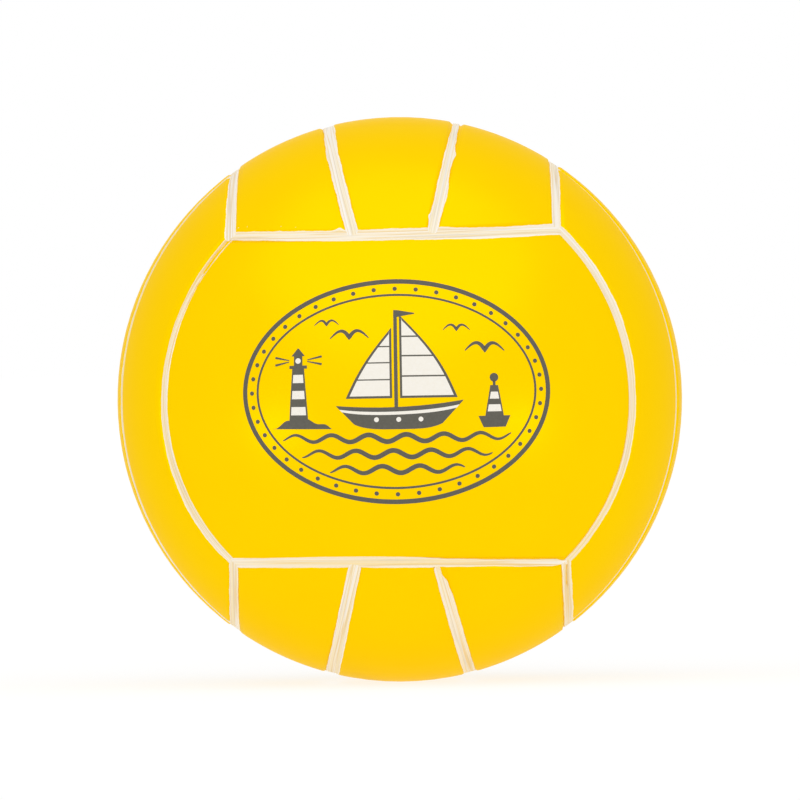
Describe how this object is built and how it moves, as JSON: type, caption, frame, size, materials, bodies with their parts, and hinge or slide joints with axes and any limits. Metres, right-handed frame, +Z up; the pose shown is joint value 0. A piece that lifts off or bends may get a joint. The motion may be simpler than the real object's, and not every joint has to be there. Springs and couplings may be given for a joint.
{
  "type": "beach ball",
  "caption": "Small round soft PVC beach ball with a moulded volleyball pattern, white painted seam lines and a rubber needle valve at the back.",
  "frame": {"origin": "centre of the ball", "axes": "+Z up, -Y out of the wide plain front panel, +Y out of the needle valve at the back, +X to the right as seen from the front"},
  "size_m": [0.13, 0.13, 0.13],
  "materials": {
    "skin_vinyl": "glossy moulded soft PVC, yellow",
    "seam_paint": "brushed off-white vinyl paint",
    "valve_rubber": "moulded black rubber",
    "print_ink_dark": "screen-printed anthracite vinyl ink",
    "print_ink_light": "screen-printed off-white vinyl ink"
  },
  "bodies": {
    "ball": {"ball_skin": "skin_vinyl", "seam_line_front_top": "seam_paint", "seam_line_front_bottom": "seam_paint", "seam_line_back_top": "seam_paint", "seam_line_back_bottom": "seam_paint", "seam_line_top_left": "seam_paint", "seam_line_top_right": "seam_paint", "seam_line_bottom_left": "seam_paint", "seam_line_bottom_right": "seam_paint", "seam_line_left_front": "seam_paint", "seam_line_left_back": "seam_paint", "seam_line_right_front": "seam_paint", "seam_line_right_back": "seam_paint", "strip_line_top_left": "seam_paint", "strip_line_top_right": "seam_paint", "strip_line_bottom_left": "seam_paint", "strip_line_bottom_right": "seam_paint", "strip_line_left_front": "seam_paint", "strip_line_left_back": "seam_paint", "strip_line_right_front": "seam_paint", "strip_line_right_back": "seam_paint", "strip_line_back_top": "seam_paint", "strip_line_back_bottom": "seam_paint"},
    "valve": {"valve_core": "valve_rubber"}
  },
  "joints": [
    {"name": "valve_core_pull", "type": "slide", "parent": "ball", "child": "valve", "axis": [0, 1, 0], "range_m": [0, 0.015]}
  ]
}
